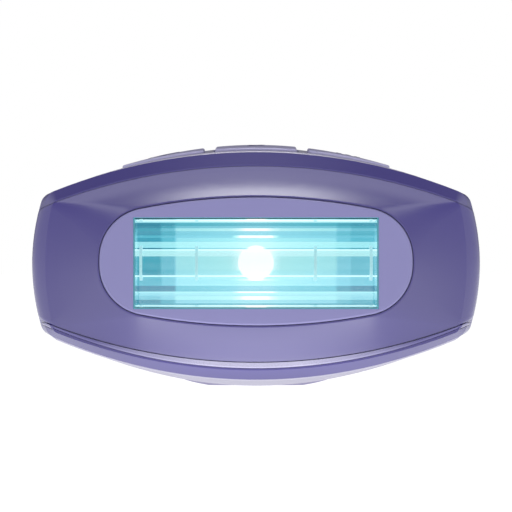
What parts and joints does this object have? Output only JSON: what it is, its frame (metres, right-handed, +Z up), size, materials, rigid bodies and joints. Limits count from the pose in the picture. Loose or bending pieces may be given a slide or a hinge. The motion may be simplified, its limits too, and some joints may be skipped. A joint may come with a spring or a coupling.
{
  "type": "light epilator",
  "caption": "Hand-held flash epilator with a sprung oval contact plate around a lit window, a pull-off lamp head, three top keys and a tapered handle.",
  "frame": {"origin": "middle of the window, in the plane of the contact plate's front face", "axes": "+Y from the treatment face back to the tail, +Z up on the key side, +X to the right when the treatment face is seen from the skin with the keys up"},
  "size_m": [0.0606, 0.1744, 0.0351],
  "materials": {
    "contact_plate": "satin moulded",
    "front_mask": "gloss moulded",
    "head_shell": "gloss moulded",
    "lower_trim": "clear-coated bead",
    "lamp_chassis": "moulded",
    "window_glass": "polished",
    "glass_gasket": "moulded",
    "filter_glass": "polished, cyan tint",
    "reflector": "bright rolled",
    "flash_tube": "drawn quartz",
    "tube_electrodes": "turned",
    "tube_boots": "moulded",
    "trigger_wire": "drawn",
    "contact_springs": "drawn",
    "contact_switches": "moulded",
    "head_base": "fine spark texture",
    "head_screws": "zinc plated",
    "head_pins": "gold plated",
    "head_magnets": "nickel plated",
    "collar_ring": "pearl",
    "upper_shell": "satin pearl",
    "lower_shell": "satin pearl",
    "power_key": "satin",
    "flash_key": "satin",
    "level_key": "satin",
    "level_windows": "frosted",
    "grip_pad": "soft touch",
    "tail_cap": "gloss moulded",
    "case_screws": "zinc plated",
    "exhaust_screens": "woven, black",
    "intake_screen": "woven, black",
    "dock_frame": "moulded",
    "dock_magnets": "nickel plated",
    "dock_sockets": "gold plated",
    "key_board": "solder resist",
    "key_switches": "moulded",
    "main_board": "solder resist",
    "level_leds": "clear",
    "board_chips": "moulded",
    "flash_capacitor": "sleeved can",
    "transformer_core": "ferrite",
    "transformer_coil": "taped",
    "trigger_coil": "potted",
    "lamp_leads": "silicone",
    "power_leads": "silicone",
    "fan_bulkhead": "moulded",
    "fan_frame": "moulded",
    "fan_axle": "ground",
    "fan_rotor": "moulded",
    "dc_jack": "moulded",
    "jack_pin": "nickel plated"
  },
  "bodies": {
    "contact_plate": {"contact_plate": "contact_plate"},
    "lamp_head": {"front_mask": "front_mask", "head_shell": "head_shell", "lower_trim": "lower_trim", "lamp_chassis": "lamp_chassis", "window_glass": "window_glass", "glass_gasket": "glass_gasket", "filter_glass": "filter_glass", "reflector": "reflector", "flash_tube": "flash_tube", "tube_electrodes": "tube_electrodes", "tube_boots": "tube_boots", "trigger_wire": "trigger_wire", "contact_springs": "contact_springs", "contact_switches": "contact_switches", "head_base": "head_base", "head_screws": "head_screws", "head_pins": "head_pins", "head_magnets": "head_magnets"},
    "handle": {"collar_ring": "collar_ring", "upper_shell": "upper_shell", "lower_shell": "lower_shell", "level_windows": "level_windows", "grip_pad": "grip_pad", "tail_cap": "tail_cap", "case_screws": "case_screws", "exhaust_screens": "exhaust_screens", "intake_screen": "intake_screen", "dock_frame": "dock_frame", "dock_magnets": "dock_magnets", "dock_sockets": "dock_sockets", "key_board": "key_board", "key_switches": "key_switches", "main_board": "main_board", "level_leds": "level_leds", "board_chips": "board_chips", "flash_capacitor": "flash_capacitor", "transformer_core": "transformer_core", "transformer_coil": "transformer_coil", "trigger_coil": "trigger_coil", "lamp_leads": "lamp_leads", "power_leads": "power_leads", "fan_bulkhead": "fan_bulkhead", "fan_frame": "fan_frame", "fan_axle": "fan_axle", "dc_jack": "dc_jack", "jack_pin": "jack_pin"},
    "power_key": {"power_key": "power_key"},
    "flash_key": {"flash_key": "flash_key"},
    "level_key": {"level_key": "level_key"},
    "fan_rotor": {"fan_rotor": "fan_rotor"}
  },
  "joints": [
    {"name": "head_release", "type": "slide", "parent": "handle", "child": "lamp_head", "axis": [0, -1, 0], "range_m": [0, 0.03]},
    {"name": "contact_press", "type": "slide", "parent": "lamp_head", "child": "contact_plate", "axis": [0, 1, 0], "range_m": [0, 0.001], "stiffness_N_per_m": 1500, "springref_m": -0.0006, "deforming": ["contact_springs"]},
    {"name": "power_press", "type": "slide", "parent": "handle", "child": "power_key", "axis": [0, 0, -1], "range_m": [0, 0.0005], "stiffness_N_per_m": 1200, "springref_m": -0.0006},
    {"name": "flash_press", "type": "slide", "parent": "handle", "child": "flash_key", "axis": [0, 0, -1], "range_m": [0, 0.0005], "stiffness_N_per_m": 1200, "springref_m": -0.0006},
    {"name": "level_press", "type": "slide", "parent": "handle", "child": "level_key", "axis": [0, 0, -1], "range_m": [0, 0.0005], "stiffness_N_per_m": 1200, "springref_m": -0.0006},
    {"name": "fan_spin", "type": "hinge", "parent": "handle", "child": "fan_rotor", "pos_m": [0, 0.1194, -0.0018], "axis": [0, 1, 0], "continuous": true}
  ]
}
